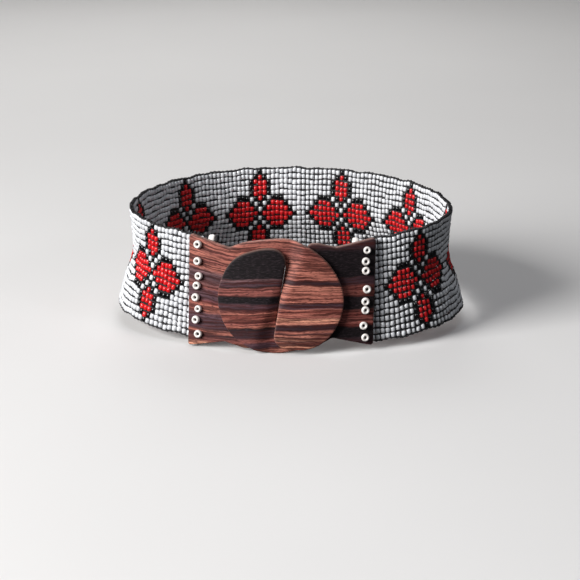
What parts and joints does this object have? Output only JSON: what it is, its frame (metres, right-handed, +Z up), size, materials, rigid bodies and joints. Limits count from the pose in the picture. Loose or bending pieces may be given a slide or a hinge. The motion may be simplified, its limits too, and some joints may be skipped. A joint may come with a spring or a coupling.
{
  "type": "beaded belt",
  "caption": "Wide bead-woven stretch waist belt with a flower pattern, closed by a two-part interlocking carved wooden buckle, in the form it takes when worn.",
  "frame": {"origin": "middle of the space that the waist fills: the centre of the loop seen from above, at the height of the buckle's middle", "axes": "+Z up the wearer's body, +X along the front of the belt towards the wearer's left, -Y out of the buckle's face"},
  "size_m": [0.2444, 0.205, 0.0801],
  "materials": {
    "beadwork": "opaque glossy seed beads strung on elastic, mostly white with red and black figures",
    "rosewood_light": "polished reddish-brown rosewood with dark bands",
    "rosewood_dark": "polished blackish-brown rosewood with reddish bands",
    "white_bead": "opaque white drilled bead, glossy"
  },
  "bodies": {
    "root": {"beaded_band": "beadwork", "buckle_left": "rosewood_light", "buckle_right": "rosewood_dark", "stud_left_1": "white_bead", "stud_left_2": "white_bead", "stud_left_3": "white_bead", "stud_left_4": "white_bead", "stud_left_5": "white_bead", "stud_left_6": "white_bead", "stud_left_7": "white_bead", "stud_left_8": "white_bead", "stud_right_1": "white_bead", "stud_right_2": "white_bead", "stud_right_3": "white_bead", "stud_right_4": "white_bead", "stud_right_5": "white_bead", "stud_right_6": "white_bead", "stud_right_7": "white_bead", "stud_right_8": "white_bead", "edge_bead_left": "white_bead", "edge_bead_right": "white_bead"}
  },
  "joints": []
}
